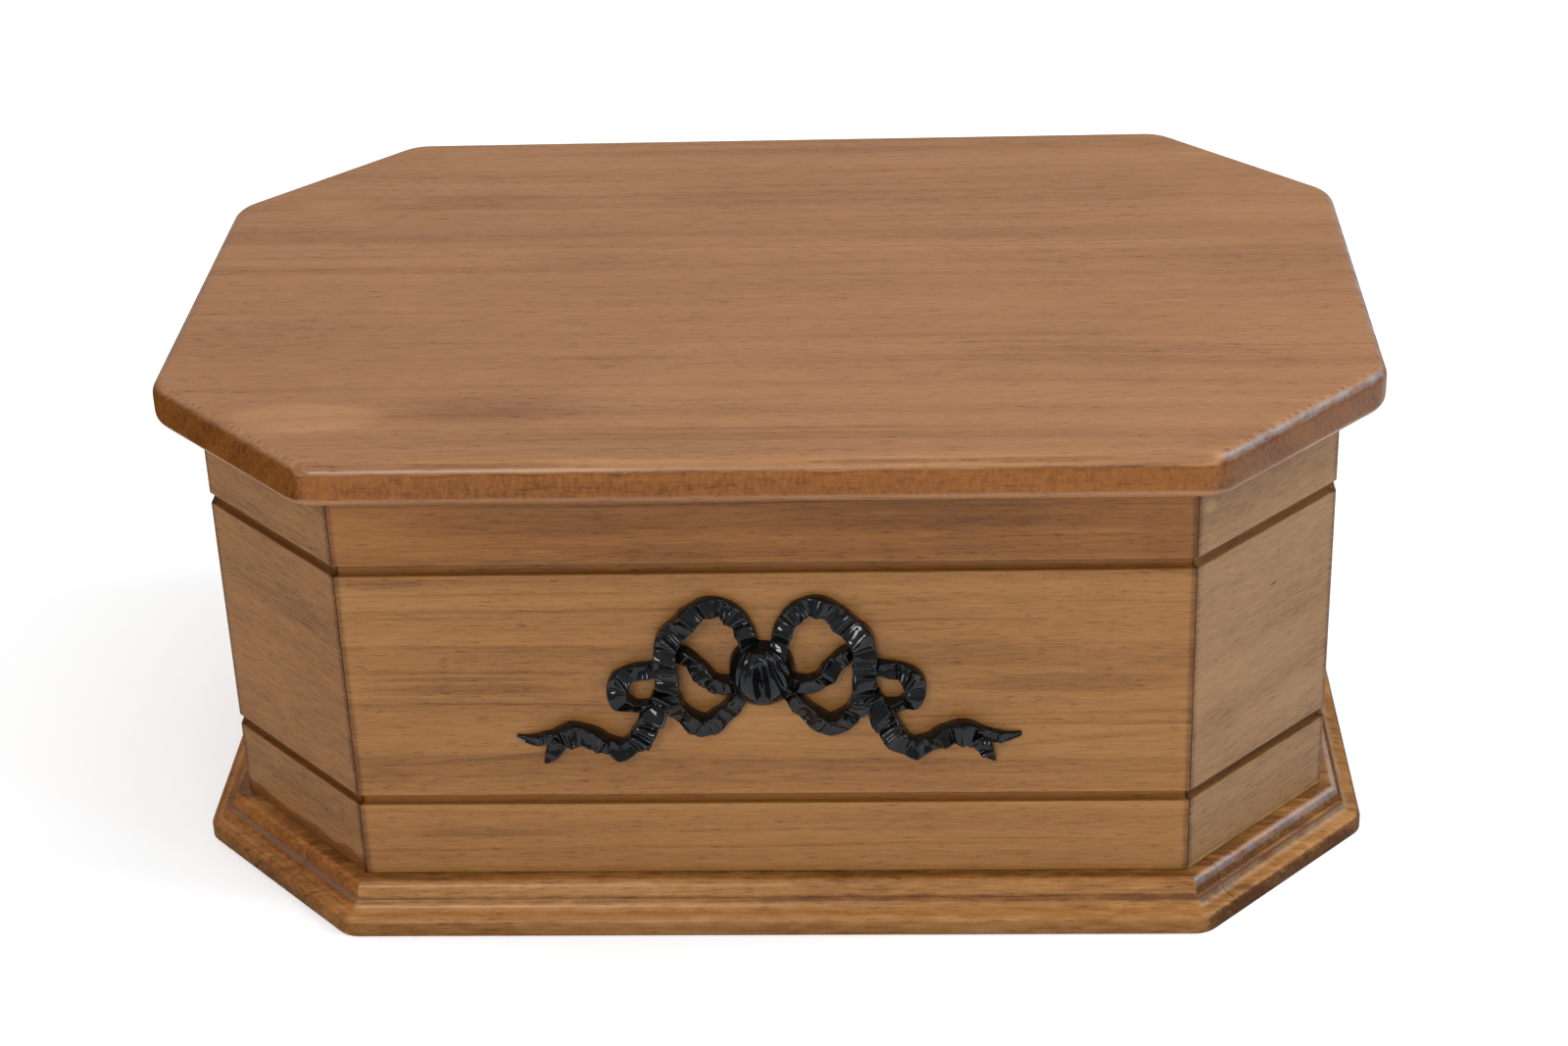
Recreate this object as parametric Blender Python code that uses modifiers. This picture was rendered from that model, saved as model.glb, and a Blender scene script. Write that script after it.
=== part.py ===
"""Octagonal wooden casket with a lift-off lid and a cast ribbon bow on its front wall.

Metres, +Z up. The origin is the centre of the base board's underside. The long side runs
along X and the front faces -Y.
"""
import math

import bmesh
import bpy
from mathutils import Vector

# Lid board
LID_LENGTH = 0.500
LID_DEPTH = 0.325
LID_THICKNESS = 0.0195
LID_TOP_ROUND = 0.0045
LID_LOWER_ROUND = 0.0065
LID_CORNER_RADIUS = 0.010
CORNER_CUT = 0.072

# Wall boards and their grooves
LID_OVERHANG = 0.0175
WALL_HEIGHT = 0.183
WALL_THICKNESS = 0.012
GROOVE_WIDTH = 0.0048
GROOVE_DEPTH = 0.003
LOWER_GROOVE_RISE = 0.0365
UPPER_GROOVE_DROP = 0.037

# Base board's moulded edge, from the walls out and from the top down
LEDGE_WIDTH = 0.003
BEAD_RADIUS = 0.0045
BEAD_FOOT = 0.0025
STEP_WIDTH = 0.002
COVE_RADIUS = 0.004
TOE_WIDTH = 0.004
TOE_DROP = 0.0035
BASE_FILLET = 0.005
UNDERSIDE_EASE = 0.0005
BASE_CORNER_RADIUS = 0.004

# Cast ribbon bow
BOW_HALF_SPAN = 0.103
BOW_KNOT_RISE = 0.0075

# Gaps between pieces that touch
REST_GAP = 0.0003
MITRE_GAP = 0.0003

# Corners are smoothed with this many points, and small curves with this many steps
CORNER_POINTS = 5
CURVE_STEPS = 5
CUTTER_MARGIN = 0.010

# The bow's pattern keeps its proportions. It is drawn in millimetres from the knot's centre,
# at a half span of PATTERN_HALF_SPAN, and every part of it is scaled to BOW_HALF_SPAN.
PATTERN_HALF_SPAN = 103.0
RIBBON_HALF_WIDTH = 4.6
RIBBON_RELIEF = 6.2
RIBBON_SINK = 9.0
KNOT_RADII = (11.8, 14.0, 14.4)
KNOT_FOLDS = 4
KNOT_FOLD_DEPTH = 0.11
# Ribbon centre lines on the right half: across, up, crown height and half the width
BIG_LOOP = (
    (5.0, 9.0, 7.5, 3.6), (8.4, 22.4, 7.0, 3.8), (14.4, 29.6, 7.0, 3.6), (21.4, 31.8, 7.5, 3.3),
    (28.0, 28.2, 8.0, 3.9), (33.6, 22.2, 8.2, 4.4), (38.8, 16.0, 9.2, 4.7), (39.9, 7.5, 8.6, 4.7),
    (39.5, -2.0, 8.8, 4.9), (39.2, -10.0, 8.2, 4.5), (34.6, -18.6, 7.8, 4.0), (25.8, -24.2, 8.6, 4.3),
    (18.4, -20.2, 7.8, 4.2), (12.4, -13.4, 7.4, 3.6), (6.0, -6.0, 7.0, 3.4),
)
MIDDLE_RIBBON = (
    (6.0, -3.0, 7.0, 3.4), (16.0, -5.0, 6.4, 3.4), (22.2, -3.2, 7.0, 3.8), (27.4, 3.2, 6.2, 3.9),
    (33.0, 8.8, 5.6, 3.3), (39.0, 9.4, 5.6, 3.2),
)
SIDE_LOOP = (
    (38.0, 3.0, 5.4, 3.0), (47.6, 2.0, 6.0, 2.8), (54.6, 0.4, 6.8, 3.2), (59.8, -4.6, 8.0, 4.2),
    (59.0, -11.4, 7.4, 3.8), (53.2, -15.6, 6.4, 3.0), (46.0, -15.8, 5.6, 3.0),
)
TAIL = (
    (41.5, -10.6, 6.2, 4.4), (47.0, -20.8, 8.0, 4.9), (52.0, -30.0, 7.8, 4.4), (58.4, -34.8, 7.6, 3.4),
    (65.2, -33.0, 7.8, 3.4), (71.8, -29.2, 8.2, 3.7), (79.0, -27.8, 8.4, 4.2), (85.2, -29.8, 6.8, 3.8),
    (89.6, -31.2, 5.0, 2.6),
)
UPPER_FORK = ((84.0, -28.8, 6.4, 3.0), (90.0, -30.6, 5.0, 2.6), (96.4, -31.4, 3.6, 1.8),
              (102.4, -30.4, 2.0, 0.7))
LOWER_FORK = ((84.0, -31.2, 6.4, 3.2), (87.0, -35.6, 5.0, 3.0), (89.4, -39.8, 3.6, 2.2),
              (91.2, -43.0, 2.0, 0.8))
# Ribbon section from the left edge over the crown: shares of half the width and of the relief
RIBBON_SECTION = ((-1.0, 0.6), (-0.72, 0.96), (0.0, 1.0), (0.72, 0.96), (1.0, 0.6))

WALLS = ("wall_front_right", "wall_right", "wall_back_right", "wall_back", "wall_back_left",
         "wall_left", "wall_front_left", "wall_front")


def clear_scene():
    """Remove every object so that the model starts from nothing."""
    for obj in list(bpy.data.objects):
        bpy.data.objects.remove(obj, do_unlink=True)


def collection(name):
    """Make a collection in the scene."""
    made = bpy.data.collections.new(name)
    bpy.context.scene.collection.children.link(made)
    return made


def material(name, colour, roughness, metallic=0.0):
    """Make a plain surface of one colour."""
    made = bpy.data.materials.new(name)
    made.use_nodes = True
    shader = made.node_tree.nodes["Principled BSDF"]
    shader.inputs["Base Color"].default_value = (*colour, 1.0)
    shader.inputs["Roughness"].default_value = roughness
    shader.inputs["Metallic"].default_value = metallic
    return made


def octagon(inset):
    """Return the lid's eight corners moved in by inset, from the front right one round."""
    half_x = LID_LENGTH / 2 - inset
    half_y = LID_DEPTH / 2 - inset
    cut = CORNER_CUT - inset * (2 - math.sqrt(2))
    quarter = ((half_x - cut, half_y), (half_x, half_y - cut))
    signs = ((1, -1), (1, 1), (-1, 1), (-1, -1))
    corners = []
    for sx, sy in signs:
        pair = quarter if sx * sy < 0 else quarter[::-1]
        corners += [Vector((sx * x, sy * y)) for x, y in pair]
    return corners


def rounded(corners, radius):
    """Replace each corner by CORNER_POINTS points on an arc of the radius."""
    points = []
    for i, corner in enumerate(corners):
        back = (corners[i - 1] - corner).normalized()
        ahead = (corners[(i + 1) % len(corners)] - corner).normalized()
        half = back.angle(ahead) / 2
        centre = corner + (back + ahead).normalized() * radius / math.sin(half)
        start = corner + back * radius / math.tan(half) - centre
        sweep = math.pi - 2 * half
        for step in range(CORNER_POINTS):
            turn = sweep * step / (CORNER_POINTS - 1)
            arm = Vector((start.x * math.cos(turn) - start.y * math.sin(turn),
                          start.x * math.sin(turn) + start.y * math.cos(turn)))
            points.append(centre + arm)
    return points


def arc(centre, radii, start, end):
    """Return points on a quarter of an ellipse in the profile's plane, angles in degrees."""
    points = []
    for step in range(CURVE_STEPS + 1):
        angle = math.radians(start + (end - start) * step / CURVE_STEPS)
        points.append((centre[0] + radii[0] * math.cos(angle), centre[1] + radii[1] * math.sin(angle)))
    return points


def moulded_board(name, profile, outline_inset, corner_radius):
    """Loft a board through its edge profile, whose points are (inset, height) from the foot up."""
    bm = bmesh.new()
    rings = []
    for inset, height in profile:
        radius = max(corner_radius - inset, UNDERSIDE_EASE)
        ring = rounded(octagon(outline_inset + inset), radius)
        rings.append([bm.verts.new((x, y, height)) for x, y in ring])
    count = len(rings[0])
    for low, high in zip(rings, rings[1:]):
        for i in range(count):
            j = (i + 1) % count
            bm.faces.new((low[i], low[j], high[j], high[i]))
    bm.faces.new(rings[0][::-1])
    bm.faces.new(rings[-1])
    mesh = bpy.data.meshes.new(name)
    bm.to_mesh(mesh)
    bm.free()
    return smooth(bpy.data.objects.new(name, mesh))


def smooth(obj):
    """Shade the round edges smooth and keep the flat faces crisp."""
    obj.data.shade_smooth()
    obj.data.set_sharp_from_angle(angle=math.radians(32))
    return obj


def finish(obj, group, surface):
    """Put a piece in its collection with its material."""
    group.objects.link(obj)
    obj.data.materials.clear()
    obj.data.materials.append(surface)
    return obj


def as_mesh(curve_object, weld=0.00002):
    """Turn a curve object into a closed mesh object in the same place and remove the curve."""
    scene = bpy.context.scene.collection
    scene.objects.link(curve_object)
    bpy.context.view_layer.update()
    depsgraph = bpy.context.evaluated_depsgraph_get()
    mesh = bpy.data.meshes.new_from_object(curve_object.evaluated_get(depsgraph))
    bm = bmesh.new()
    bm.from_mesh(mesh)
    bmesh.ops.remove_doubles(bm, verts=bm.verts, dist=weld)
    bmesh.ops.recalc_face_normals(bm, faces=bm.faces)
    bm.to_mesh(mesh)
    bm.free()
    made = bpy.data.objects.new(curve_object.name + "_mesh", mesh)
    made.matrix_world = curve_object.matrix_world.copy()
    bpy.data.objects.remove(curve_object, do_unlink=True)
    return made


def box(name, size, centre, turn=0.0):
    """Make a box of a real size, turned about Z."""
    bm = bmesh.new()
    bmesh.ops.create_cube(bm, size=1.0)
    bmesh.ops.scale(bm, vec=size, verts=bm.verts)
    mesh = bpy.data.meshes.new(name)
    bm.to_mesh(mesh)
    bm.free()
    obj = bpy.data.objects.new(name, mesh)
    obj.location = centre
    obj.rotation_euler = (0, 0, turn)
    return obj


def cutter(obj, group):
    """Mark an object as a guide for cutting or joining."""
    group.objects.link(obj)
    obj.hide_render = True
    obj.display_type = "WIRE"
    return obj


def combine(target, tool, operation):
    """Add a Boolean of the tool to the target."""
    step = target.modifiers.new(operation.title() + "_" + tool.name, "BOOLEAN")
    step.operation = operation
    step.solver = "EXACT"
    step.object = tool
    return step


def base_profile():
    """Return the base board's edge from the floor up: toe, cove, step, bead and ledge."""
    toe_in = TOE_WIDTH
    cove_in = toe_in + COVE_RADIUS
    step_in = cove_in + STEP_WIDTH
    toe_top = BASE_FILLET + TOE_DROP
    cove_top = toe_top + COVE_RADIUS
    bead_low = cove_top + BEAD_FOOT
    profile = [(UNDERSIDE_EASE, 0.0), (0.0, UNDERSIDE_EASE)]
    profile += arc((toe_in, BASE_FILLET), (TOE_WIDTH, TOE_DROP), 180, 90)
    profile += arc((toe_in, cove_top), (COVE_RADIUS, COVE_RADIUS), 270, 360)[1:]
    profile += [(step_in, cove_top)]
    profile += arc((step_in + BEAD_RADIUS, bead_low), (BEAD_RADIUS, BEAD_RADIUS), 180, 90)
    return profile


def base_thickness():
    """Return the height of the base board's top face."""
    return BASE_FILLET + TOE_DROP + COVE_RADIUS + BEAD_FOOT + BEAD_RADIUS


def base_projection():
    """Return how far the base board stands out from the walls."""
    return LEDGE_WIDTH + BEAD_RADIUS + STEP_WIDTH + COVE_RADIUS + TOE_WIDTH


def wall_foot():
    """Return the height of the walls' lower edge."""
    return base_thickness() + REST_GAP


def lid_profile():
    """Return the lid's edge from its underside up."""
    low = wall_foot() + WALL_HEIGHT + REST_GAP
    top = low + LID_THICKNESS
    lower = (LID_LOWER_ROUND, LID_LOWER_ROUND)
    upper = (LID_TOP_ROUND, LID_TOP_ROUND)
    profile = arc((lower[0], low + lower[1]), lower, 270, 180)
    profile += arc((upper[0], top - upper[1]), upper, 180, 90)
    return profile


def wall_board(name, index, group):
    """Make one mitred wall board from its outer corners, with both grooves."""
    outer = octagon(LID_OVERHANG)
    inner = octagon(LID_OVERHANG + WALL_THICKNESS)
    start, end = outer[index], outer[(index + 1) % 8]
    along = (end - start).normalized()
    slip = along * MITRE_GAP / 2 / math.cos(math.pi / 8)
    plan = (start + slip, end - slip, inner[(index + 1) % 8] - slip, inner[index] + slip)
    curve = bpy.data.curves.new(name, "CURVE")
    curve.dimensions = "2D"
    curve.fill_mode = "BOTH"
    curve.extrude = WALL_HEIGHT / 2
    spline = curve.splines.new("POLY")
    spline.points.add(len(plan) - 1)
    for point, (x, y) in zip(spline.points, plan):
        point.co = (x, y, 0, 1)
    spline.use_cyclic_u = True
    outline = bpy.data.objects.new(name + "_outline", curve)
    outline.location = (0, 0, wall_foot() + WALL_HEIGHT / 2)
    made = as_mesh(outline)
    made.name = name
    middle = (start + end) / 2
    length = (end - start).length + 2 * CUTTER_MARGIN
    turn = math.atan2(along.y, along.x)
    heights = (wall_foot() + LOWER_GROOVE_RISE, wall_foot() + WALL_HEIGHT - UPPER_GROOVE_DROP)
    for label, height in zip(("lower", "upper"), heights):
        groove = box(f"{name}_{label}_groove", (length, 2 * GROOVE_DEPTH, GROOVE_WIDTH),
                     (middle.x, middle.y, height), turn)
        combine(made, cutter(groove, group), "DIFFERENCE")
    return made


def bow_scale():
    """Return the metres in one unit of the bow's pattern."""
    return BOW_HALF_SPAN / PATTERN_HALF_SPAN


def ribbon_section(group):
    """Make the ribbon's crowned section, which is swept along every centre line."""
    points = [(-RIBBON_HALF_WIDTH, -RIBBON_SINK)]
    points += [(across * RIBBON_HALF_WIDTH, out * RIBBON_RELIEF) for across, out in RIBBON_SECTION]
    points += [(RIBBON_HALF_WIDTH, -RIBBON_SINK)]
    curve = bpy.data.curves.new("ribbon_section", "CURVE")
    curve.dimensions = "2D"
    spline = curve.splines.new("POLY")
    spline.points.add(len(points) - 1)
    for point, (x, y) in zip(spline.points, points):
        point.co = (x * bow_scale(), y * bow_scale(), 0, 1)
    spline.use_cyclic_u = True
    return cutter(bpy.data.objects.new("ribbon_section", curve), group)


def ribbon(name, pattern, section, place):
    """Sweep the ribbon section along one centre line of the pattern."""
    curve = bpy.data.curves.new(name, "CURVE")
    curve.dimensions = "3D"
    curve.twist_mode = "Z_UP"
    curve.bevel_mode = "OBJECT"
    curve.bevel_object = section
    curve.use_fill_caps = True
    curve.resolution_u = 3
    curve.render_resolution_u = 3
    spline = curve.splines.new("BEZIER")
    spline.bezier_points.add(len(pattern) - 1)
    for point, (across, up, crown, half_width) in zip(spline.bezier_points, pattern):
        share = half_width / RIBBON_HALF_WIDTH
        point.co = Vector((across, up, crown - share * RIBBON_RELIEF)) * bow_scale()
        point.handle_left_type = "AUTO"
        point.handle_right_type = "AUTO"
        point.radius = share
    centre_line = bpy.data.objects.new(name, curve)
    centre_line.location = place
    centre_line.rotation_euler = (math.pi / 2, 0, 0)
    return as_mesh(centre_line)


def knot(place):
    """Make the knot, an egg gathered into upright folds with a cleft down its middle."""
    bm = bmesh.new()
    bmesh.ops.create_uvsphere(bm, u_segments=8 * KNOT_FOLDS, v_segments=16, radius=bow_scale())
    for vert in bm.verts:
        turn = math.atan2(vert.co.x, -vert.co.y)
        girth = 1 - KNOT_FOLD_DEPTH * (1 - abs(math.sin(KNOT_FOLDS * turn)))
        vert.co.x *= girth * KNOT_RADII[0]
        vert.co.y *= girth * KNOT_RADII[1]
        vert.co.z *= KNOT_RADII[2]
    mesh = bpy.data.meshes.new("knot")
    bm.to_mesh(mesh)
    bm.free()
    obj = bpy.data.objects.new("knot", mesh)
    obj.location = place
    return smooth(obj)


def ribbon_bow(group):
    """Join the right half's runs, mirror them, add the knot between and cut the back flat."""
    lower = wall_foot() + LOWER_GROOVE_RISE
    upper = wall_foot() + WALL_HEIGHT - UPPER_GROOVE_DROP
    face = -(LID_DEPTH / 2 - LID_OVERHANG)
    back = face - REST_GAP
    place = Vector((0, back, (lower + upper) / 2 + BOW_KNOT_RISE))
    section = ribbon_section(group)
    runs = (("middle_ribbon", MIDDLE_RIBBON), ("side_loop", SIDE_LOOP), ("tail", TAIL),
            ("upper_fork", UPPER_FORK), ("lower_fork", LOWER_FORK))
    bow = ribbon("big_loop", BIG_LOOP, section, place)
    for name, pattern in runs:
        combine(bow, cutter(ribbon(name, pattern, section, place), group), "UNION")
    bow.name = "ribbon_bow"
    mirror = bow.modifiers.new("Mirror", "MIRROR")
    mirror.use_axis = (True, False, False)
    mirror.use_mirror_merge = False
    mirror.merge_threshold = 0.00002
    combine(bow, cutter(knot(place), group), "UNION")
    depth = KNOT_RADII[1] * bow_scale() + CUTTER_MARGIN
    size = (2 * BOW_HALF_SPAN + 4 * CUTTER_MARGIN, depth, 2 * BOW_HALF_SPAN)
    flat = box("flat_back", size, (place.x, back + depth / 2, place.z))
    combine(bow, cutter(flat, group), "DIFFERENCE")
    return bow


def main():
    """Build the casket."""
    clear_scene()
    casket = collection("wooden_casket")
    cutters = collection("cutters")
    wood_top = material("wood_lid", (0.36, 0.19, 0.10), 0.42)
    wood_wall = material("wood_wall", (0.30, 0.155, 0.065), 0.46)
    wood_base = material("wood_base", (0.26, 0.115, 0.04), 0.40)
    paint = material("black_gloss", (0.006, 0.006, 0.007), 0.16)
    overall = LID_OVERHANG - base_projection()
    finish(moulded_board("base_board", base_profile(), overall, BASE_CORNER_RADIUS), casket, wood_base)
    finish(moulded_board("lid", lid_profile(), 0.0, LID_CORNER_RADIUS), casket, wood_top)
    for index, name in enumerate(WALLS):
        finish(wall_board(name, index, cutters), casket, wood_wall)
    finish(ribbon_bow(cutters), casket, paint)


main()
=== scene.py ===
"""Looks of a small octagonal wooden casket with a cast ribbon bow on its front wall.

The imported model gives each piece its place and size. The boards are rebuilt with eased edges
in stained wood, and the bow with its gathered ribbons in gloss paint. Metres, +Z up, front to -Y.
"""
import logging
import math
from collections.abc import Callable
from dataclasses import dataclass, field
from enum import Enum

import bmesh
import bpy
from mathutils import Matrix, Vector


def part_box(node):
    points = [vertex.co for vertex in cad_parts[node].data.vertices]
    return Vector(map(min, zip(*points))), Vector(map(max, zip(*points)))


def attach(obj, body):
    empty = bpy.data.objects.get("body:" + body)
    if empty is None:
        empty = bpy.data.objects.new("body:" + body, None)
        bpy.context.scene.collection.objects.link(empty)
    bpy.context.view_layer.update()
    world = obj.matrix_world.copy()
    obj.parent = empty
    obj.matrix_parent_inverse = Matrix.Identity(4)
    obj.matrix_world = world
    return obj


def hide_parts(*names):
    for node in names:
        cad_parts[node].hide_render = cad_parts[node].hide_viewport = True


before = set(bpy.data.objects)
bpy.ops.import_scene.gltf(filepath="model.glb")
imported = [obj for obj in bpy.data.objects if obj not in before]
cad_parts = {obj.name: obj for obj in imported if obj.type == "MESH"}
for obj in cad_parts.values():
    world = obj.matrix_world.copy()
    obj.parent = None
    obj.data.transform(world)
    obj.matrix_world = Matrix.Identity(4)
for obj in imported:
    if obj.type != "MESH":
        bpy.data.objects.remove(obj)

LOG = logging.getLogger("casket")
MM = 0.001
EIGHTH_TURN = math.pi / 4
DIAGONAL = math.sqrt(0.5)
CORNER_CUT = 72.0 * MM
Colour = tuple[float, float, float]
Point = tuple[float, float, float]
Settings = dict[str, object] | None
Inputs = dict[str | int, object] | None
Socket = bpy.types.NodeSocket


def operator(operation: str, swapped: bool = False) -> Callable[["Sock", "float | Sock"], "Sock"]:
    """Make a method that adds a Math node with two inputs.

    Args:
        operation: What the node works out.
        swapped: Whether the other number comes first.

    Returns:
        The method.
    """
    def method(self: "Sock", other: "float | Sock") -> "Sock":
        """Return the result for this number and the other."""
        return self.tree.math(operation, *((other, self) if swapped else (self, other)))

    return method


class Sock:
    """A number in a node tree. Its operators add Math nodes. at_least and at_most limit it."""

    def __init__(self, tree: "Nodes", socket: Socket) -> None:
        """Wrap a socket of a tree."""
        self.tree = tree
        self.socket = socket

    __add__, __radd__ = operator("ADD"), operator("ADD", swapped=True)
    __sub__, __rsub__ = operator("SUBTRACT"), operator("SUBTRACT", swapped=True)
    __mul__, __rmul__ = operator("MULTIPLY"), operator("MULTIPLY", swapped=True)
    __truediv__, __rtruediv__ = operator("DIVIDE"), operator("DIVIDE", swapped=True)
    __pow__ = operator("POWER")
    at_least = operator("MAXIMUM")
    at_most = operator("MINIMUM")

    def __abs__(self) -> "Sock":
        """Return the number without its sign."""
        return self.tree.math("ABSOLUTE", self)

    def rise(self, low: float, high: float) -> "Sock":
        """Go smoothly from 0 at low to 1 at high."""
        values = {"Value": self, "From Min": low, "From Max": high}
        return self.tree.number("ShaderNodeMapRange", {"interpolation_type": "SMOOTHSTEP"}, values)

    def bell(self, centre: "float | Sock", reach: float) -> "Sock":
        """Rise to 1 at centre and fall to 0 at reach on both sides of it."""
        return 1.0 - abs(self - centre).rise(0.0, reach)

    def band(self, up: tuple[float, float], down: tuple[float, float]) -> "Sock":
        """Go smoothly from 0 to 1 over the first span and back to 0 over the second."""
        return self.rise(*up) * (1.0 - self.rise(*down))


class Nodes:
    """A node tree that is filled by one method for every kind of node."""

    def __init__(self, tree: bpy.types.NodeTree) -> None:
        """Wrap a tree."""
        self.tree = tree

    def feed(self, socket: Socket, value: object) -> None:
        """Link a value to an input or set it there.

        Args:
            socket: The input.
            value: A Sock, a socket or a plain value.
        """
        if isinstance(value, Sock):
            value = value.socket
        if isinstance(value, Socket):
            self.tree.links.new(value, socket)
        else:
            socket.default_value = value

    def node(self, kind: str, settings: Settings = None, values: Inputs = None) -> bpy.types.Node:
        """Add a node.

        Args:
            kind: The node's type.
            settings: Its own settings, which are set first. stops are a ramp's positions and colours.
            values: What its inputs take, by name or number.

        Returns:
            The node.
        """
        made = self.tree.nodes.new(kind)
        for key, value in (settings or {}).items():
            if key == "stops":
                ramp = made.color_ramp
                while len(ramp.elements) < len(value):
                    ramp.elements.new(0.5)
                for element, (position, colour) in zip(ramp.elements, value):
                    element.position = position
                    element.color = (*colour, 1.0)
            else:
                setattr(made, key, value)
        for key, value in (values or {}).items():
            self.feed(made.inputs[key], value)
        return made

    def out(self, kind: str, settings: Settings = None, values: Inputs = None,
            output: str | int = 0) -> Socket:
        """Add a node and return one of its outputs, by name or number."""
        return self.node(kind, settings, values).outputs[output]

    def number(self, kind: str, settings: Settings = None, values: Inputs = None) -> Sock:
        """Add a node and return its first output as a number."""
        return Sock(self, self.out(kind, settings, values))

    def math(self, operation: str, *values: "float | Sock") -> Sock:
        """Add a Math node and return its result."""
        return self.number("ShaderNodeMath", {"operation": operation}, dict(enumerate(values)))

    def vector(self, x: "float | Sock", y: "float | Sock", z: "float | Sock") -> Socket:
        """Join three numbers into a vector."""
        return self.out("ShaderNodeCombineXYZ", None, {"X": x, "Y": y, "Z": z})

    def parts(self, vector: Socket) -> tuple[Sock, Sock, Sock]:
        """Split a vector into its three numbers."""
        split = self.node("ShaderNodeSeparateXYZ", None, {0: vector})
        return tuple(Sock(self, output) for output in split.outputs)

    def noise(self, place: tuple["float | Sock", "float | Sock", "float | Sock"], detail: float = 2.0,
              roughness: float = 0.5, seed: "float | Sock" = 0.0) -> Sock:
        """Add seeded noise.

        Args:
            place: Where it is read, in its own units.
            detail: How many finer layers it has.
            roughness: How strong the finer layers are.
            seed: Which of its many patterns it is.

        Returns:
            The noise, around 0.5.
        """
        values = {"Vector": self.vector(*place), "W": seed, "Scale": 1.0, "Detail": detail,
                  "Roughness": roughness}
        return self.number("ShaderNodeTexNoise", {"noise_dimensions": "4D"}, values)


class Surface(Nodes):
    """The nodes of one material."""

    def __init__(self, name: str) -> None:
        """Make a material with its shader.

        Args:
            name: The material's name.
        """
        self.material = bpy.data.materials.new(name)
        self.material.use_nodes = True
        super().__init__(self.material.node_tree)
        self.shader = self.tree.nodes["Principled BSDF"]

    def coordinates(self, turn: float = 0.0) -> tuple[Sock, Sock, Sock]:
        """Read the object's own coordinates, turned about Z.

        Args:
            turn: The angle in radians of the direction that becomes the first coordinate.

        Returns:
            The three coordinates.
        """
        place = self.out("ShaderNodeTexCoord", output="Object")
        turned = self.out("ShaderNodeMapping", None, {"Vector": place, "Rotation": (0.0, 0.0, -turn)})
        return self.parts(turned)

    def facing(self) -> tuple[Sock, Sock, Sock]:
        """Return the three parts of the surface's normal."""
        return self.parts(self.out("ShaderNodeNewGeometry", output="Normal"))

    def cornerwise(self, normal_x: Sock, normal_z: Sock) -> Sock:
        """Return 1 where the surface looks to a corner or end, seen from above, and 0 elsewhere."""
        level = (1.0 - normal_z * normal_z).at_least(0.01) ** 0.5
        return (abs(normal_x) / level).rise(0.3, 0.6)

    def ramp(self, value: Sock, stops: tuple[tuple[float, Colour], ...]) -> Socket:
        """Turn a number into a colour by a ramp's positions and colours."""
        return self.out("ShaderNodeValToRGB", {"stops": stops}, {0: value})

    def blend(self, share: "float | Sock", first: object, second: object, mode: str = "MIX") -> Socket:
        """Mix two colours.

        Args:
            share: How much of the second there is.
            first: The first colour or its socket.
            second: The second colour or its socket.
            mode: How they mix.

        Returns:
            The mixed colour's socket.
        """
        pair = [(*c, 1.0) if isinstance(c, tuple) else c for c in (first, second)]
        values = {0: share, 6: pair[0], 7: pair[1]}
        settings = {"data_type": "RGBA", "blend_type": mode, "clamp_factor": True}
        return self.out("ShaderNodeMix", settings, values, 2)

    def set(self, values: Inputs) -> None:
        """Set or link the shader's inputs by name."""
        for name, value in values.items():
            self.feed(self.shader.inputs[name], value)

    def bump(self, height: Sock, distance: float, strength: float) -> None:
        """Raise small relief from 0 to 1 by a real distance in metres."""
        values = {"Height": height, "Distance": distance, "Strength": strength}
        self.set({"Normal": self.out("ShaderNodeBump", None, values)})

    def coloured(self, colour: Socket) -> bpy.types.Material:
        """Set the surface's colour and return its material."""
        self.set({"Base Color": colour})
        return self.material


@dataclass(frozen=True)
class Mark:
    """A long soft patch of darker wood on a board, or of lighter wood if its strength is negative.

    Places and sizes are in millimetres. core is the share of the patch that has its full strength.
    """

    along: float
    across: float
    half_length: float
    half_width: float
    strength: float
    slope: float = 0.0
    core: float = 0.25

    def mask(self, surface: Surface, along: Sock, across: Sock) -> Sock:
        """Return how dark the patch is at each place.

        Args:
            surface: The material's nodes.
            along: The place along the grain, in metres.
            across: The place across the grain, in metres.

        Returns:
            The darkening.
        """
        along = along - self.along * MM
        run = along / (self.half_length * MM)
        side = (across - self.across * MM - along * self.slope) / (self.half_width * MM)
        reach = surface.math("SQRT", run * run + side * side)
        return (1.0 - reach.rise(self.core, 1.0)) * self.strength


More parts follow.
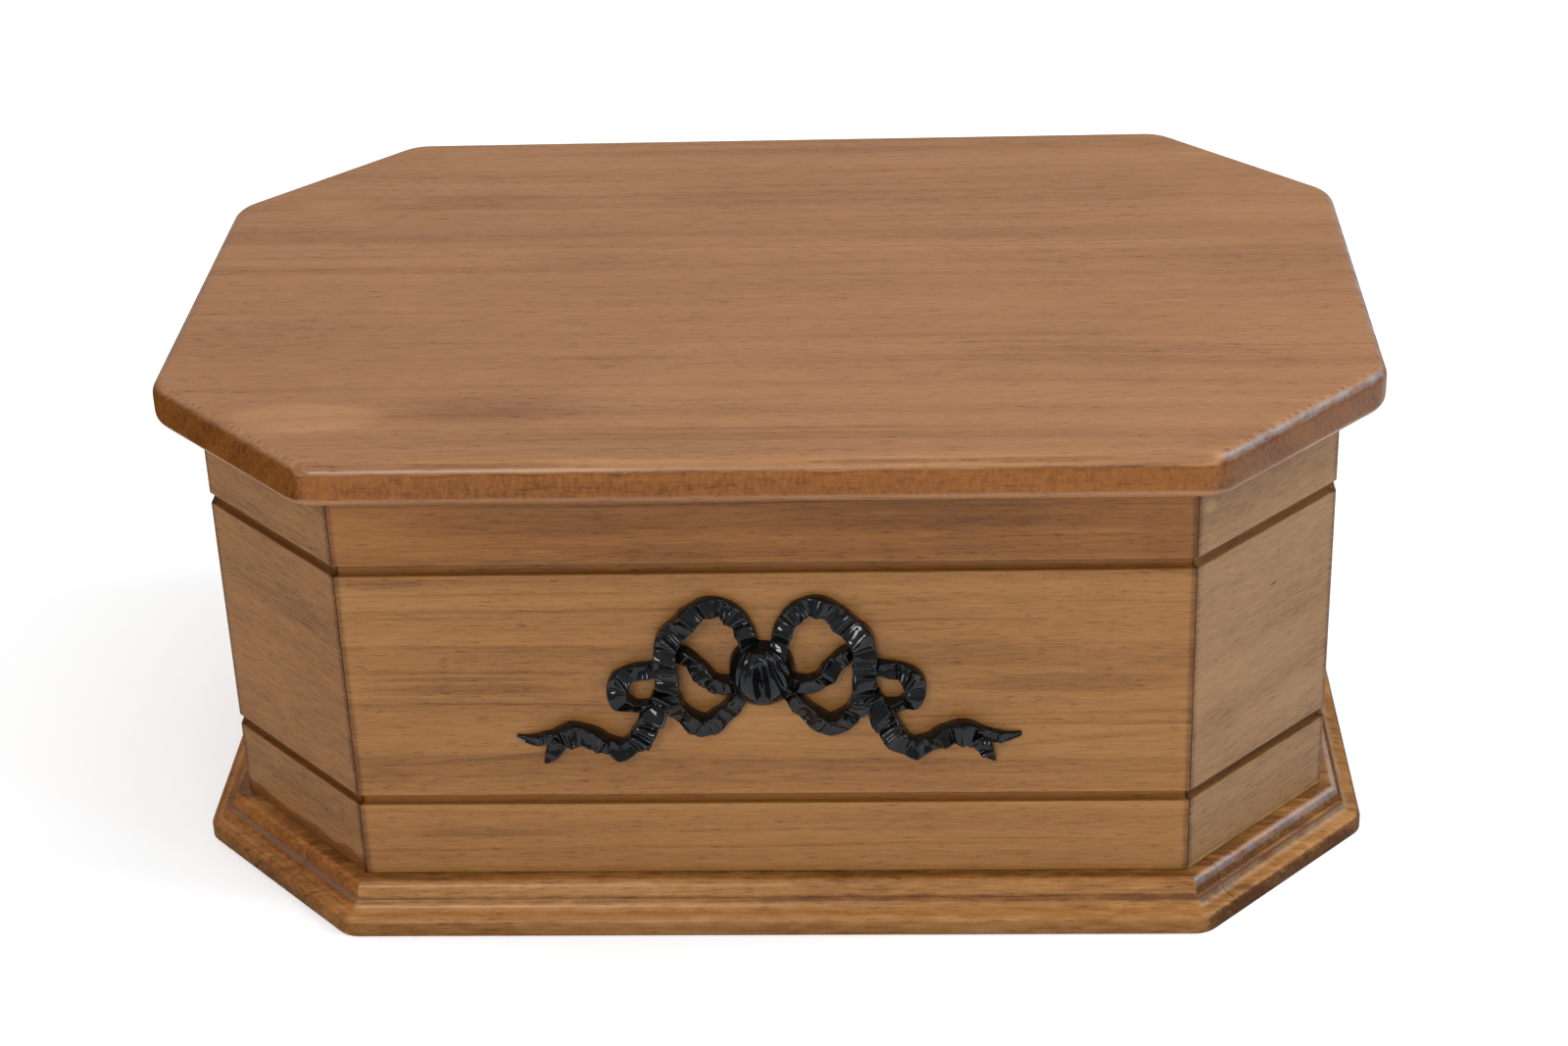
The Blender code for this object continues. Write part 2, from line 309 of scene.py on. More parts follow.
@dataclass(frozen=True)
class Grain:
    """The pattern of one board's wood, in waves to the metre, and how strong each part is.

    reach stretches the fibres and pores along the grain.
    """

    seed: float
    ring: float = 62.0
    warp: float = 0.020
    figure: float = 1.25
    line: float = 0.22
    fibre: float = 0.55
    pore: float = 0.30
    blotch: float = 0.45
    reach: float = 1.0
    line_waves: float = 420.0
    fibre_waves: float = 1100.0
    pore_waves: float = 1700.0

    def tone(self, surface: Surface, along: Sock, across: Sock, depth: Sock,
             marks: tuple[Mark, ...] = ()) -> tuple[Sock, Sock]:
        """Work out the wood's tone and its relief.

        Args:
            surface: The material's nodes.
            along: The place along the grain, in metres.
            across: The place across the grain on the board's face.
            depth: The place through the board.
            marks: The board's darker and lighter patches.

        Returns:
            The tone, dark at 0 and light at 1, and the relief of fibres and pores.
        """
        def layer(long_waves: float, waves: float, detail: float, rough: float, step: float) -> Sock:
            """Return noise that is drawn out along the grain."""
            place = (along * long_waves, across * waves, depth * waves)
            return surface.noise(place, detail, rough, self.seed + step)

        ring = across + depth * 0.6 + (layer(3.2, 11.0, 2.0, 0.5, 0.0) - 0.5) * self.warp
        bands = surface.noise((along * 0.9, ring * self.ring, 0.0), 4.0, 0.66, self.seed + 3.1)
        lines = surface.noise((along * 3.6, ring * self.line_waves, 1.7), 1.0, 0.5, self.seed + 5.3)
        lines = lines.rise(0.52, 0.70)
        calm = layer(3.5, 34.0, 1.0, 0.5, 8.7)
        fibre = layer(55.0 / self.reach, self.fibre_waves, 2.0, 0.6, 0.0)
        pores = layer(150.0 / self.reach, self.pore_waves, 1.0, 0.5, 2.0).rise(0.58, 0.74)
        blotch = layer(9.0, 16.0, 2.0, 0.5, 1.3)
        tone = (0.5 + (bands - 0.5) * self.figure - lines * calm.rise(0.4, 0.62) * self.line
                + (fibre - 0.5) * self.fibre - pores * self.pore + (blotch - 0.5) * self.blotch)
        for mark in marks:
            tone = tone - mark.mask(surface, along, across)
        return tone, fibre * 0.5 + (1.0 - pores) * 0.5


@dataclass(frozen=True)
class WoodStain:
    """A stain on wood under satin lacquer."""

    dark: Colour
    middle: Colour
    light: Colour
    roughness: float = 0.42
    coat_roughness: float = 0.32
    relief: float = 0.35
    relief_height: float = 0.2 * MM

    def dress(self, surface: Surface, tone: Sock, relief: Sock, lacquer: "float | Sock") -> Socket:
        """Colour the wood by its tone and set its gloss and relief.

        Args:
            surface: The material's nodes.
            tone: Dark at 0 and light at 1.
            relief: The relief of fibres and pores.
            lacquer: How much lacquer stands on the wood.

        Returns:
            The wood's colour.
        """
        surface.set({"Coat Weight": lacquer, "Coat Roughness": self.coat_roughness,
                     "Specular IOR Level": 0.0, "Roughness": self.roughness + (0.5 - tone) * 0.12})
        surface.bump(relief, self.relief_height, self.relief)
        return surface.ramp(tone, ((0.08, self.dark), (0.5, self.middle), (0.92, self.light)))


@dataclass(frozen=True)
class GlossPaint:
    """Thick black gloss paint on a casting."""

    name: str = "black_gloss_paint"
    colour: Colour = (0.0030, 0.0030, 0.0034)
    worn: Colour = (0.010, 0.009, 0.008)
    tint: Colour = (0.95, 0.97, 1.0)
    waves: float = 260.0
    specks: float = 900.0
    wave_height: float = 0.5 * MM

    def material(self) -> bpy.types.Material:
        """Make the paint's material.

        Returns:
            The material.
        """
        surface = Surface(self.name)
        x, y, z = surface.coordinates()
        wave = surface.noise((x * self.waves, y * self.waves, z * self.waves), 2.0, 0.5, 4.0)
        speck = surface.noise((x * self.specks, y * self.specks, z * self.specks), 1.0, 0.5, 6.0)
        surface.set({"Specular IOR Level": 0.25, "Specular Tint": (*self.tint, 1.0),
                     "Roughness": 0.04 + wave.rise(0.3, 0.8) * 0.08})
        surface.bump(wave, self.wave_height, 0.16)
        return surface.coloured(surface.blend(speck.rise(0.5, 0.8), self.colour, self.worn))


@dataclass(frozen=True)
class Octagon:
    """The casket's plan: a rectangle with its four corners cut off at 45 degrees."""

    length: float
    depth: float
    cut: float = CORNER_CUT

    @classmethod
    def of(cls, node: str) -> "Octagon":
        """Return the plan of a node's box."""
        low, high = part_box(node)
        return cls(high.x - low.x, high.y - low.y)

    def corners(self, inset: float) -> list[Vector]:
        """Return the eight corners from the front right one round, moved in.

        Args:
            inset: How far in from the outline they lie.

        Returns:
            The corners.
        """
        half_x = self.length / 2 - inset
        half_y = self.depth / 2 - inset
        cut = self.cut - inset * (2 - math.sqrt(2))
        near = ((half_x - cut, half_y), (half_x, half_y - cut))
        found = []
        for sign_x, sign_y in ((1, -1), (1, 1), (-1, 1), (-1, -1)):
            pair = near if sign_x * sign_y < 0 else near[::-1]
            found += [Vector((sign_x * x, sign_y * y)) for x, y in pair]
        return found

    def ring(self, inset: float, radius: float, steps: int) -> list[Vector]:
        """Return the outline with round corners.

        Args:
            inset: How far in from the outline it lies.
            radius: The corners' radius.
            steps: How many points each corner has.

        Returns:
            The points in order.
        """
        corners = self.corners(inset)
        points = []
        for index, corner in enumerate(corners):
            back = (corners[index - 1] - corner).normalized()
            ahead = (corners[(index + 1) % len(corners)] - corner).normalized()
            half = back.angle(ahead) / 2
            centre = corner + (back + ahead).normalized() * radius / math.sin(half)
            arm = corner + back * radius / math.tan(half) - centre
            sweep = math.pi - 2 * half
            for step in range(steps):
                turn = Matrix.Rotation(sweep * step / (steps - 1), 2)
                points.append(centre + turn @ arm)
        return points


def quarter(centre: tuple[float, float], radii: tuple[float, float], start: float,
            steps: int) -> list[tuple[float, float]]:
    """Return a quarter turn of an ellipse, clockwise from the start in degrees, in so many steps."""
    angles = [math.radians(start - 90.0 * step / steps) for step in range(steps + 1)]
    return [(centre[0] + radii[0] * math.cos(a), centre[1] + radii[1] * math.sin(a)) for a in angles]


def mesh_of(bm: bmesh.types.BMesh, name: str, smooth: bool) -> bpy.types.Mesh:
    """Turn a bmesh into a mesh and free it.

    Args:
        bm: The bmesh.
        name: The mesh's name.
        smooth: Whether its faces are shaded smooth.

    Returns:
        The mesh.
    """
    for face in bm.faces:
        face.smooth = smooth
    mesh = bpy.data.meshes.new(name)
    bm.to_mesh(mesh)
    bm.free()
    return mesh


def placed(name: str, data: bpy.types.ID) -> bpy.types.Object:
    """Put an object with its data in the scene.

    Args:
        name: The object's name.
        data: Its mesh, light or camera.

    Returns:
        The object.
    """
    thing = bpy.data.objects.new(name, data)
    bpy.context.scene.collection.objects.link(thing)
    return thing


def bridge(bm: bmesh.types.BMesh, low: list[bmesh.types.BMVert], high: list[bmesh.types.BMVert]) -> None:
    """Join two closed loops of points with a band of faces.

    Args:
        bm: The bmesh that the points are in.
        low: The first loop.
        high: The second loop.
    """
    for index in range(len(low)):
        after = (index + 1) % len(low)
        bm.faces.new((low[index], low[after], high[after], high[index]))


def dressed(name: str, mesh: bpy.types.Mesh, node: str) -> bpy.types.Object:
    """Put a mesh in the scene as the piece that stands for a node.

    Args:
        name: The piece's name.
        mesh: Its mesh, in place and with its material.
        node: The node that it stands for.

    Returns:
        The piece.
    """
    piece = placed(name, mesh)
    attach(piece, "root")
    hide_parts(node)
    LOG.info("%s: %d faces", name, len(mesh.polygons))
    return piece


def moulded_mesh(name: str, plan: Octagon, profile: list[tuple[float, float]], radius: float,
                 steps: int, least_radius: float) -> bpy.types.Mesh:
    """Loft a board through the profile of its edge, whose faces above and below are flat.

    Args:
        name: The mesh's name.
        plan: The board's outline.
        profile: Points of inset and height from the foot up.
        radius: The outline's corner radius.
        steps: How many points each corner has.
        least_radius: The smallest corner radius further in.

    Returns:
        The mesh, shaded smooth.
    """
    bm = bmesh.new()
    (foot_in, foot), (top_in, top) = profile[0], profile[-1]
    rings = [(foot_in + least_radius, foot), *profile, (top_in + least_radius, top)]
    loops = []
    for inset, height in rings:
        points = plan.ring(inset, max(radius - inset, least_radius), steps)
        loops.append([bm.verts.new((p.x, p.y, height)) for p in points])
    for low, high in zip(loops, loops[1:]):
        bridge(bm, low, high)
    bm.faces.new(loops[0][::-1])
    bm.faces.new(loops[-1])
    return mesh_of(bm, name, smooth=True)


@dataclass
class Lid:
    """The lift-off lid, one board with a round edge all the way round."""

    top_round: float = 6.0 * MM
    lower_round: float = 6.5 * MM
    corner_radius: float = 20.0 * MM
    least_radius: float = 0.5 * MM
    steps: int = 12
    stain: WoodStain = WoodStain((0.123, 0.046, 0.015), (0.264, 0.118, 0.045),
                                 (0.365, 0.178, 0.072), 0.37)
    grain: Grain = Grain(seed=11.0, figure=0.75, line=0.14, fibre=0.50, blotch=0.30)
    marks: tuple[Mark, ...] = (
        Mark(-180, -121, 37, 15, -0.22, 0.0, 0.62), Mark(-110, -113, 50, 22, 0.11),
        Mark(-60, 38, 110, 4, 0.12, -0.03), Mark(95, 44, 90, 4, 0.10), Mark(-70, 25, 60, 9, 0.08),
        Mark(90, 5, 170, 2.5, 0.12, -0.02),
        Mark(-140, -27, 100, 2.5, 0.10), Mark(60, -54, 200, 2.5, 0.11), Mark(-60, -72, 50, 4, 0.10),
        Mark(160, -70, 95, 6, 0.12, -0.03), Mark(110, -92, 140, 8, 0.09, -0.07), Mark(0, 144, 180, 7, 0.10),
        Mark(-130, 92, 42, 12, 0.09), Mark(-205, 86, 26, 11, -0.15), Mark(165, 94, 50, 16, 0.07),
    )

    def material(self) -> bpy.types.Material:
        """Make the lid's wood: long grain on the face, darker and speckled on its edge, with a painted
        grey-blue highlight on the upper rounding of its right corners.

        Returns:
            The material.
        """
        surface = Surface("lid_wood")
        x, y, z = surface.coordinates()
        normal_x, _, normal_z = surface.facing()
        tone, relief = self.grain.tone(surface, x, y, z, self.marks)
        ragged = surface.noise((x * 70.0, y * 70.0, z * 500.0), 2.0, 0.6, 3.0) - 0.5
        end_grain = abs(normal_x).rise(0.20, 0.45)
        long_edge = (1.0 - (normal_z + ragged * 0.25).rise(0.20, 0.38)) * normal_z.rise(-0.38, -0.10)
        cut_edge = (1.0 - (normal_z + ragged * 0.30).rise(0.45, 0.95)) * normal_z.rise(-0.62, -0.22)
        edge = long_edge * (1.0 - end_grain) + cut_edge * end_grain
        fleck = surface.noise((x * 620.0, y * 620.0, z * 260.0), 3.0, 0.7, 9.0)
        arris = (normal_z + ragged * 0.5).bell(0.30, 0.16) * (1.0 - end_grain)
        shoulder = normal_z.band((0.25, 0.45), (0.94, 0.995))
        ripple = surface.noise((x * 9.0, (y - z * 1.3) * 700.0, 6.0), 1.0, 0.5, 14.0).rise(0.38, 0.62) - 0.5
        tone = tone + edge * (fleck - 0.5) * 1.1 - edge * end_grain * 0.10 - arris * 0.22
        lit = x.rise(-0.15, 0.15)
        tone = tone + shoulder * ripple * (1.0 - end_grain * (1.0 - lit * 0.30)) * 0.42
        broken = surface.noise((x * 150.0, y * 150.0, z * 300.0), 2.0, 0.6, 15.0).rise(0.26, 0.70)
        chamfer = surface.cornerwise(normal_x, normal_z)
        lacquer = 0.64 - edge * 0.30 + edge * end_grain * (lit * 0.44 - 0.34)
        lacquer = lacquer - shoulder * chamfer * lit * (1.0 - broken) * 0.32
        colour = self.stain.dress(surface, tone, relief, lacquer)
        colour = surface.blend(edge, colour, (0.80, 0.615, 0.30), "MULTIPLY")
        colour = surface.blend(edge * end_grain, colour, (0.67, 0.69, 0.82), "MULTIPLY")
        # Painted highlight: a grey-blue sheen on the upper rounding of the right corners, broken into
        # flecks.
        painted_sheen = chamfer * lit * normal_z.band((0.30, 0.50), (0.80, 0.93))
        return surface.coloured(surface.blend(painted_sheen * broken * 0.50, colour, (0.200, 0.205, 0.225)))

    def build(self) -> bpy.types.Object:
        """Make the lid in its place.

        Returns:
            The piece.
        """
        low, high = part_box("lid")
        lower, upper = self.lower_round, self.top_round
        profile = quarter((lower, low.z + lower), (lower, lower), 270.0, self.steps)
        profile += quarter((upper, high.z - upper), (upper, upper), 180.0, self.steps)
        mesh = moulded_mesh("lid_board", Octagon.of("lid"), profile, self.corner_radius, self.steps,
                            self.least_radius)
        mesh.materials.append(self.material())
        return dressed("lid_board", mesh, "lid")


@dataclass
class BaseBoard:
    """The moulded base board: toe, cove, step, bead and ledge from the floor up.

    The spans say over which heights, in millimetres, the finish of one part gives way to the next,
    with painted shade low down and a painted highlight on the bead and painted reflection on the cove.
    """

    fillet: float = 5.0 * MM
    toe: tuple[float, float] = (4.0 * MM, 3.5 * MM)
    cove: float = 4.0 * MM
    step: float = 2.0 * MM
    bead: float = 4.5 * MM
    bead_foot: float = 2.5 * MM
    ease: float = 0.5 * MM
    corner_radius: float = 12.0 * MM
    steps: int = 8
    stain: WoodStain = WoodStain((0.115, 0.040, 0.008), (0.300, 0.130, 0.034),
                                 (0.440, 0.222, 0.082), 0.30, 0.33, 0.12)
    grain: Grain = Grain(seed=23.0, figure=1.0, fibre=0.6, blotch=0.8)
    joints: tuple[tuple[float, float], ...] = ((1.0, 29.3 * MM), (-1.0, 52.0 * MM))
    knot: tuple[float, float] = (189.0 * MM, -133.4 * MM)
    sole_shade_span: tuple[float, float] = (5.5, 8.4)
    cove_spans: tuple[tuple[float, float], ...] = ((8.4, 9.0), (11.4, 12.4))
    bead_spans: tuple[tuple[float, float], ...] = ((15.4, 17.4), (18.9, 19.45))
    ledge_span: tuple[float, float] = (19.0, 19.45)

    def profile(self) -> list[tuple[float, float]]:
        """Draw the board's edge.

        Returns:
            Points of inset and height from the foot up.
        """
        toe_in, toe_up = self.toe
        cove_in = toe_in + self.cove
        cove_top = self.fillet + toe_up + self.cove
        step_in = cove_in + self.step
        points = [(self.ease, 0.0), (0.0, self.ease)]
        points += quarter((toe_in, self.fillet), self.toe, 180.0, self.steps)
        hollow = quarter((toe_in, cove_top), (self.cove, self.cove), 360.0, self.steps)
        points += hollow[::-1][1:]
        points += [(step_in - self.ease / 2, cove_top), (step_in, cove_top + self.ease / 2)]
        points += quarter((step_in + self.bead, cove_top + self.bead_foot), (self.bead, self.bead), 180.0,
                          self.steps)
        return points

    def material(self) -> bpy.types.Material:
        """Make the base's wood, dark in its hollows and along the foot of the walls, with painted shade low
        down and on the left corners, and painted highlights on the right corners.

        Returns:
            The material.
        """
        surface = Surface("base_wood")
        x, y, z = surface.coordinates()
        normal_x, _, normal_z = surface.facing()
        tone, relief = self.grain.tone(surface, x, y, z)
        fleck = surface.noise((x * 90.0, y * 300.0, z * 420.0), 3.0, 0.65, 5.0)
        hollow = z.bell(self.fillet + self.toe[1] + self.cove * 0.9, 1.6 * MM)
        height = z / MM
        ledge = height.rise(*self.ledge_span)
        shaded_sole = 1.0 - height.rise(*self.sole_shade_span)
        end_grain = abs(normal_x).rise(0.3, 0.6) * (1.0 - normal_z.rise(0.5, 0.9))
        right = x.rise(-0.05, 0.15)
        tone = tone + (fleck - 0.5) * 0.8 - hollow * 0.35 - ledge * 0.22 - end_grain * (0.12 + right * 0.18)
        seam = 0.0
        for side, where in self.joints:
            along = (x * side + y) * DIAGONAL
            seam = seam + along.bell(where, 0.5 * MM) * (x * side).rise(0.0, 0.1)
        tone = tone - x.bell(self.knot[0], 2.2 * MM) * y.bell(self.knot[1], 1.4 * MM) * 0.7
        chamfer = surface.cornerwise(normal_x, normal_z) * (1.0 - normal_z.rise(0.95, 0.995))
        left_shade = chamfer * (1.0 - right) * (1.0 - shaded_sole)
        lit = chamfer * right
        crown = height.band(*self.bead_spans)
        dip = height.band(*self.cove_spans)
        lacquer = 0.55 - (chamfer * 0.35).at_least(shaded_sole * 0.45) + lit * crown * 0.30
        colour = self.stain.dress(surface, tone, relief, lacquer)
        # Painted shade: the low toe and fillet darker and cooler.
        colour = surface.blend(shaded_sole, colour, (0.68, 0.70, 0.80), "MULTIPLY")
        # Partly darker end grain, partly a painted cool tint of the bluish light from the right.
        colour = surface.blend(end_grain * lit, colour, (0.74, 0.78, 0.95), "MULTIPLY")
        # Painted shade: the left corners warmer and darker, darker still in the hollow under the bead.
        colour = surface.blend(left_shade * 0.85, colour, (0.80, 0.62, 0.40), "MULTIPLY")
        colour = surface.blend(left_shade * hollow * 0.55, colour, (0.200, 0.112, 0.066))
        # Painted highlight on the bead and painted reflection on the cove of the right corners, in patches.
        sheen_patches = surface.noise((x * 120.0, y * 120.0, z * 40.0), 2.0, 0.6, 12.0).rise(0.25, 0.6)
        colour = surface.blend(lit * crown * sheen_patches * 0.38, colour, (0.19, 0.195, 0.225))
        colour = surface.blend(lit * dip * sheen_patches * 0.36, colour, (0.29, 0.215, 0.145))
        return surface.coloured(surface.blend(seam * 0.85, colour, (0.34, 0.28, 0.26), "MULTIPLY"))

    def build(self) -> bpy.types.Object:
        """Make the base board in its place.

        Returns:
            The piece.
        """
        mesh = moulded_mesh("base_moulding", Octagon.of("base_board"), self.profile(), self.corner_radius,
                            self.steps, self.ease)
        mesh.materials.append(self.material())
        return dressed("base_moulding", mesh, "base_board")


class Side(Enum):
    """The eight walls, numbered from the front right one round."""

    FRONT_RIGHT = 0
    RIGHT = 1
    BACK_RIGHT = 2
    BACK = 3
    BACK_LEFT = 4
    LEFT = 5
    FRONT_LEFT = 6
    FRONT = 7

    def node(self) -> str:
        """Return the name of the wall's node."""
        return "wall_" + self.name.lower()

    def turn(self) -> float:
        """Return the direction of the wall's length, as an angle about Z."""
        return EIGHTH_TURN * (self.value + 1)


@dataclass
class Walls:
    """The eight mitred wall boards with two grooves all the way round.

    The spans are heights in millimetres: where the glue line and the darkening at the foot end, and
    where the painted shade under the lid, partly darker wood, starts.
    """

    overhang: float = 17.5 * MM
    thickness: float = 12.0 * MM
    groove_width: float = 4.8 * MM
    groove_depth: float = 3.0 * MM
    lower_groove: float = 36.5 * MM
    upper_groove: float = 37.0 * MM
    mitre_gap: float = 0.3 * MM
    ease: float = 0.35 * MM
    foot_span: tuple[float, float] = (20.6, 22.4)
    lid_shade_span: tuple[float, float] = (160.0, 172.0)
    stain: WoodStain = WoodStain((0.110, 0.041, 0.010), (0.262, 0.117, 0.033),
                                 (0.362, 0.184, 0.062), 0.46)
    # Lit and shaded copies of one stain: the right walls' lighter and greyer as painted light, the left
    # walls' darker as painted shade.
    lit_right_stain: WoodStain = WoodStain((0.092, 0.043, 0.017), (0.210, 0.110, 0.045),
                                (0.278, 0.160, 0.073), 0.44)
    shaded_left_stain: WoodStain = WoodStain((0.088, 0.036, 0.011), (0.203, 0.092, 0.032),
                                 (0.265, 0.135, 0.052), 0.44)
    marks: dict[Side, tuple[Mark, ...]] = field(default_factory=lambda: {
        Side.FRONT: (
            Mark(120, 111, 75, 7, 0.24), Mark(-120, 110, 75, 4, 0.22), Mark(-130, 115, 60, 1.6, 0.22),
            Mark(-90, 187, 90, 10, 0.20), Mark(60, 190, 130, 12, 0.22), Mark(-110, 173, 60, 3.5, -0.14),
            Mark(-100, 78, 60, 2.0, 0.14, 0.08), Mark(120, 84, 70, 2.0, 0.12, 0.10),
            Mark(-150, 160, 26, 4, 0.16), Mark(0, 95, 60, 14, -0.12), Mark(-120, 40, 45, 3, 0.16),
        ),
        Side.FRONT_RIGHT: (
            Mark(5, 136, 3, 0.8, 0.8), Mark(-28, 82, 18, 22, 0.10), Mark(20, 78, 16, 12, -0.10),
            Mark(-37, 189, 5, 4, -0.45),
        ),
        Side.FRONT_LEFT: (Mark(10, 140, 30, 20, 0.05),),
    })

    def material(self, side: Side, half: float) -> bpy.types.Material:
        """Make one wall's wood, dark in its grooves and at its mitres, with painted shade under the lid on
        the long walls and painted light and shade in the right and left walls' stains.

        Args:
            side: The wall.
            half: Half of its outer length in metres.

        Returns:
            The material.
        """
        surface = Surface(side.node() + "_wood")
        along, out, z = surface.coordinates(side.turn())
        middle = self.middle(side)
        along = along - middle.x
        depth = out - middle.y
        long_wall = side in (Side.FRONT, Side.BACK)
        seed = 40.0 + 7.3 * side.value
        if long_wall:
            grain = Grain(seed, figure=0.85, warp=0.016, line=0.20, blotch=0.35)
        else:
            grain = Grain(seed, figure=0.60, warp=0.016, line=0.06, fibre=0.90, pore=0.34, blotch=0.55,
                          reach=0.7)
        tone, relief = grain.tone(surface, along, z, depth, self.marks.get(side, ()))
        smudge = surface.noise((along * 60.0, z * 60.0, 0.0), 2.0, 0.5, 2.0)
        mitre = (abs(along) + smudge * 1.6 * MM).rise(half - 2.4 * MM, half - 0.2 * MM)
        groove = (depth / MM).rise(0.25, 0.7)
        right = side in (Side.FRONT_RIGHT, Side.RIGHT, Side.BACK_RIGHT)
        # Painted light and shade: the right walls take the lighter, greyer stain and the left walls the
        # darker one.
        stain = self.stain if long_wall else self.lit_right_stain if right else self.shaded_left_stain
        speck = surface.noise((along * 75.0, z * 520.0, 3.0), 2.0, 0.6, 2.0)
        tone = tone - mitre * 0.30 - groove * speck.rise(0.64, 0.74) * 0.45
        if right:
            # Pale flecks on the right walls only: wood flecks, lit there as painted sheen.
            sheen_flecks = surface.noise((along * 60.0, (z - along * 0.12) * 1000.0, 8.0), 1.0, 0.5, seed)
            tone = tone + sheen_flecks.rise(0.58, 0.72) * (1.0 - groove) * 0.16
        lacquer = 0.42 if long_wall else 0.36 if right else 0.24
        colour = stain.dress(surface, tone, relief, lacquer)
        lid_shade = (z / MM).rise(*self.lid_shade_span)
        # Painted shade under the lid on the front and back walls, partly darker wood.
        if long_wall:
            colour = surface.blend(lid_shade, colour, (0.88, 0.78, 0.62), "MULTIPLY")
        else:
            foot = 1.0 - (z / MM - smudge * (0.0 if right else 9.0)).rise(*self.foot_span)
            if right:
                colour = surface.blend(foot * smudge.rise(0.35, 0.6) * 0.55, colour, (0.36, 0.23, 0.085))
            else:
                # The left walls are darker along their foot, in a ragged band.
                colour = surface.blend(foot * 0.80, colour, (0.56, 0.38, 0.22), "MULTIPLY")
        # The grooves are coloured darker, less so under the lid.
        groove_tint = (0.62, 0.46, 0.20) if long_wall else (0.48, 0.34, 0.15)
        return surface.coloured(surface.blend(groove * (0.66 - lid_shade * 0.46), colour, groove_tint, "MULTIPLY"))

    def middle(self, side: Side) -> Vector:
        """Return the middle of the wall's outer face, along its length and out of it."""
        start, end = self.ends(side, 0.0)
        return Matrix.Rotation(-side.turn(), 2) @ ((start + end) / 2)

    def ends(self, side: Side, inset: float) -> tuple[Vector, Vector]:
        """Return both ends of a wall at a depth below its outer face."""
        corners = Octagon.of("lid").corners(self.overhang + inset)
        return corners[side.value], corners[(side.value + 1) % len(corners)]

    def section(self, foot: float, top: float) -> list[tuple[float, float]]:
        """Return a wall's section as points of depth and height, round its outside.

        Args:
            foot: The height of its lower edge.
            top: The height of its upper edge.

        Returns:
            The points.
        """
        half = self.groove_width / 2
        points = [(0.0, foot)]
        for middle in (foot + self.lower_groove, top - self.upper_groove):
            points += [(0.0, middle - half), (self.groove_depth, middle - half),
                       (self.groove_depth, middle + half), (0.0, middle + half)]
        return points + [(0.0, top), (self.thickness, top), (self.thickness, foot)]

    def board(self, side: Side) -> bpy.types.Object:
        """Make one wall board, mitred at both ends, with eased arrises.

        Args:
            side: The wall.

        Returns:
            The piece.
        """
        low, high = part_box(side.node())
        bm = bmesh.new()
        ends = ([], [])
        slip = self.mitre_gap / 2 / math.cos(EIGHTH_TURN / 2)
        for inset, height in self.section(low.z, high.z):
            start, end = self.ends(side, inset)
            along = (end - start).normalized() * slip
            for verts, place in zip(ends, (start + along, end - along)):
                verts.append(bm.verts.new((place.x, place.y, height)))
        bridge(bm, ends[1], ends[0])
        bm.faces.new(ends[0])
        bm.faces.new(ends[1][::-1])
        bmesh.ops.recalc_face_normals(bm, faces=bm.faces)
        bmesh.ops.bevel(bm, geom=bm.edges, offset=self.ease, segments=2, profile=0.5, affect="EDGES",
                        clamp_overlap=True)
        name = side.node() + "_board"
        mesh = mesh_of(bm, name, smooth=False)
        start, end = self.ends(side, 0.0)
        mesh.materials.append(self.material(side, (end - start).length / 2))
        return dressed(name, mesh, side.node())

    def build(self) -> list[bpy.types.Object]:
        """Make the eight walls and return them."""
        return [self.board(side) for side in Side]


@dataclass(frozen=True)
class Run:
    """One ribbon of the bow's right half, in millimetres from the knot's centre.

    points are across, up, crown height and half width. lean is how much lower the ribbon's
    left edge is than its right one, seen along its run.
    """

    points: tuple[tuple[float, float, float, float], ...]
    phase: float
    lean: float


@dataclass(frozen=True)
class Crease:
    """A crease in the knot: its place across, from -1 to 1, its half width, its depth and its lift.

    The depth is in millimetres. A high lift keeps the crease in the knot's upper half.
    """

    place: float
    width: float
    depth: float
    lift: float


